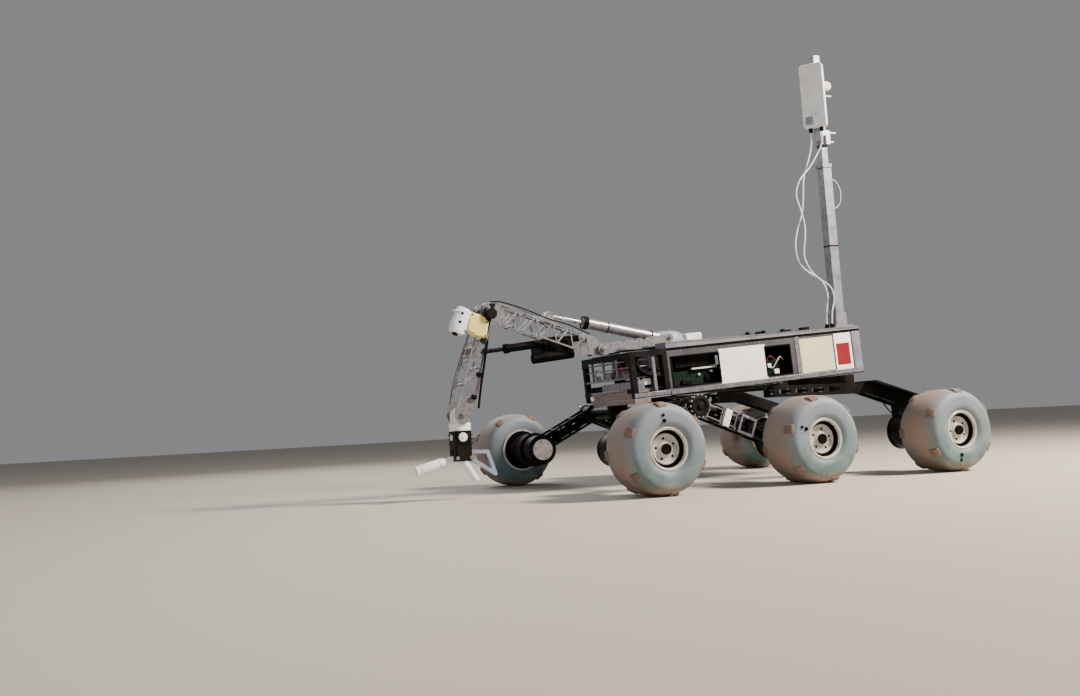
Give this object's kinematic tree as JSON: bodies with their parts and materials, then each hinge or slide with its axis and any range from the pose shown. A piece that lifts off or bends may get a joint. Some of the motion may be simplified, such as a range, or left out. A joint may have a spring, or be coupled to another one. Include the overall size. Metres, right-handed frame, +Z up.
{
  "type": "six-wheeled planetary rover prototype",
  "caption": "Six-wheeled rover prototype with balloon tyres, side bogies, a body with open windows, a lattice arm with actuators and a gripper, and an antenna mast.",
  "frame": {"origin": "on the ground under the middle of the whole length and width", "axes": "+X forward, +Y left, +Z up"},
  "size_m": [1.9904, 1.3948, 1.6963],
  "materials": {
    "tyre": "soft grey-blue polyurethane, dusty",
    "rim_plastic": "moulded cream plastic",
    "black_metal": "black paint, scratched",
    "bare_aluminium": "milled",
    "grey_metal": "extruded",
    "grey_panel": "satin grey",
    "black_plastic": "matte",
    "green_box": "dark green",
    "grey_plastic": "matte",
    "polished_rod": "polished",
    "white_plastic": "moulded white"
  },
  "bodies": {
    "chassis": {"body_floor": "grey_metal", "body_frame": "black_metal", "side_panel_left": "grey_panel", "side_panel_right": "grey_panel", "rear_panel": "grey_panel", "lid": "grey_panel", "turret_deck": "grey_metal", "nose_frame": "black_metal", "arm_bay": "black_metal", "battery_box": "black_plastic", "electronics_box": "green_box", "computer_box": "black_plastic", "driver_boxes": "grey_plastic", "turntable": "black_metal", "bogie_left": "black_metal", "bogie_right": "black_metal", "rear_leg_left": "black_metal", "rear_leg_right": "black_metal", "bogie_shaft": "black_metal", "cross_members": "black_metal", "wheel_motors": "black_metal", "motor_end_plates": "bare_aluminium", "mast_foot": "grey_metal", "mast_lower": "grey_metal", "mast_upper": "grey_metal", "antenna": "white_plastic", "antenna_clamps": "grey_metal", "antenna_sockets": "black_plastic", "lid_glands": "black_plastic", "antenna_cable_1": "white_plastic", "antenna_cable_2": "white_plastic"},
    "wheel_front_left": {"tyre_front_left": "tyre", "rim_front_left": "rim_plastic"},
    "wheel_front_right": {"tyre_front_right": "tyre", "rim_front_right": "rim_plastic"},
    "wheel_middle_left": {"tyre_middle_left": "tyre", "rim_middle_left": "rim_plastic"},
    "wheel_middle_right": {"tyre_middle_right": "tyre", "rim_middle_right": "rim_plastic"},
    "wheel_rear_left": {"tyre_rear_left": "tyre", "rim_rear_left": "rim_plastic"},
    "wheel_rear_right": {"tyre_rear_right": "tyre", "rim_rear_right": "rim_plastic"},
    "turret": {"turret": "bare_aluminium"},
    "upper_arm": {"upper_arm": "bare_aluminium"},
    "lift_tube": {"lift_tube": "bare_aluminium"},
    "lift_rod": {"lift_rod": "polished_rod"},
    "tilt_tube": {"tilt_tube": "black_metal"},
    "tilt_rod": {"tilt_rod": "polished_rod"},
    "forearm": {"forearm": "bare_aluminium", "elbow_box": "white_plastic", "arm_camera": "white_plastic"},
    "wrist": {"wrist_block": "white_plastic"},
    "gripper": {"gripper_body": "black_metal", "fixed_finger": "white_plastic"},
    "front_finger": {"front_finger": "white_plastic"},
    "claw_finger": {"claw_finger": "grey_metal"}
  },
  "joints": [
    {"name": "spin_front_left", "type": "hinge", "parent": "chassis", "child": "wheel_front_left", "pos_m": [0.3728, 0.605, 0.15], "axis": [0, 1, 0], "continuous": true},
    {"name": "spin_front_right", "type": "hinge", "parent": "chassis", "child": "wheel_front_right", "pos_m": [0.3728, -0.605, 0.15], "axis": [0, 1, 0], "continuous": true},
    {"name": "spin_middle_left", "type": "hinge", "parent": "chassis", "child": "wheel_middle_left", "pos_m": [-0.2362, 0.605, 0.15], "axis": [0, 1, 0], "continuous": true},
    {"name": "spin_middle_right", "type": "hinge", "parent": "chassis", "child": "wheel_middle_right", "pos_m": [-0.2362, -0.605, 0.15], "axis": [0, 1, 0], "continuous": true},
    {"name": "spin_rear_left", "type": "hinge", "parent": "chassis", "child": "wheel_rear_left", "pos_m": [-0.8452, 0.605, 0.15], "axis": [0, 1, 0], "continuous": true},
    {"name": "spin_rear_right", "type": "hinge", "parent": "chassis", "child": "wheel_rear_right", "pos_m": [-0.8452, -0.605, 0.15], "axis": [0, 1, 0], "continuous": true},
    {"name": "yaw", "type": "hinge", "parent": "chassis", "child": "turret", "pos_m": [0.16483, 0, 0.51487], "axis": [0.0698, 0, 0.9976], "range_deg": [-15, 15]},
    {"name": "shoulder", "type": "hinge", "parent": "turret", "child": "upper_arm", "pos_m": [0.25397, 0, 0.5196], "axis": [0, -1, 0], "range_deg": [-5, 45]},
    {"name": "elbow", "type": "hinge", "parent": "upper_arm", "child": "forearm", "pos_m": [0.70797, 0, 0.67559], "axis": [0, -1, 0], "range_deg": [-15, 30]},
    {"name": "wrist", "type": "hinge", "parent": "forearm", "child": "wrist", "pos_m": [0.82197, 0, 0.2996], "axis": [0, -1, 0], "range_deg": [-50, 50]},
    {"name": "roll", "type": "hinge", "parent": "wrist", "child": "gripper", "pos_m": [0.82197, 0, 0.2413], "axis": [0, 0, -1], "range_deg": [-90, 90]},
    {"name": "grip", "type": "hinge", "parent": "gripper", "child": "front_finger", "pos_m": [0.84797, 0, 0.1463], "axis": [0, 1, 0], "range_deg": [0, 40]},
    {"name": "claw", "type": "hinge", "parent": "gripper", "child": "claw_finger", "pos_m": [0.79597, 0, 0.1463], "axis": [0, 1, 0], "range_deg": [-41, 0.5]},
    {"name": "lift_swing", "type": "hinge", "parent": "turret", "child": "lift_tube", "pos_m": [-0.03603, 0, 0.55759], "axis": [0, -1, 0], "range_deg": [-2.45, 19.65]},
    {"name": "lift_slide", "type": "slide", "parent": "lift_tube", "child": "lift_rod", "axis": [0.9817, 0, 0.1903], "range_m": [-0.1026, 0.01184]},
    {"name": "tilt_swing", "type": "hinge", "parent": "upper_arm", "child": "tilt_tube", "pos_m": [0.33397, 0, 0.56559], "axis": [0, -1, 0], "range_deg": [-2.55, 4.8]},
    {"name": "tilt_slide", "type": "slide", "parent": "tilt_tube", "child": "tilt_rod", "axis": [0.9936, 0, -0.1129], "range_m": [-0.03794, 0.07537]}
  ],
  "couplings": [
    {"joint": "lift_swing", "follows": "shoulder", "ratio": 0.43},
    {"joint": "lift_slide", "follows": "shoulder", "m_per_rad": -0.13},
    {"joint": "tilt_swing", "follows": "elbow", "ratio": 0.15},
    {"joint": "tilt_slide", "follows": "elbow", "m_per_rad": 0.143},
    {"joint": "claw", "follows": "grip", "ratio": -1}
  ]
}
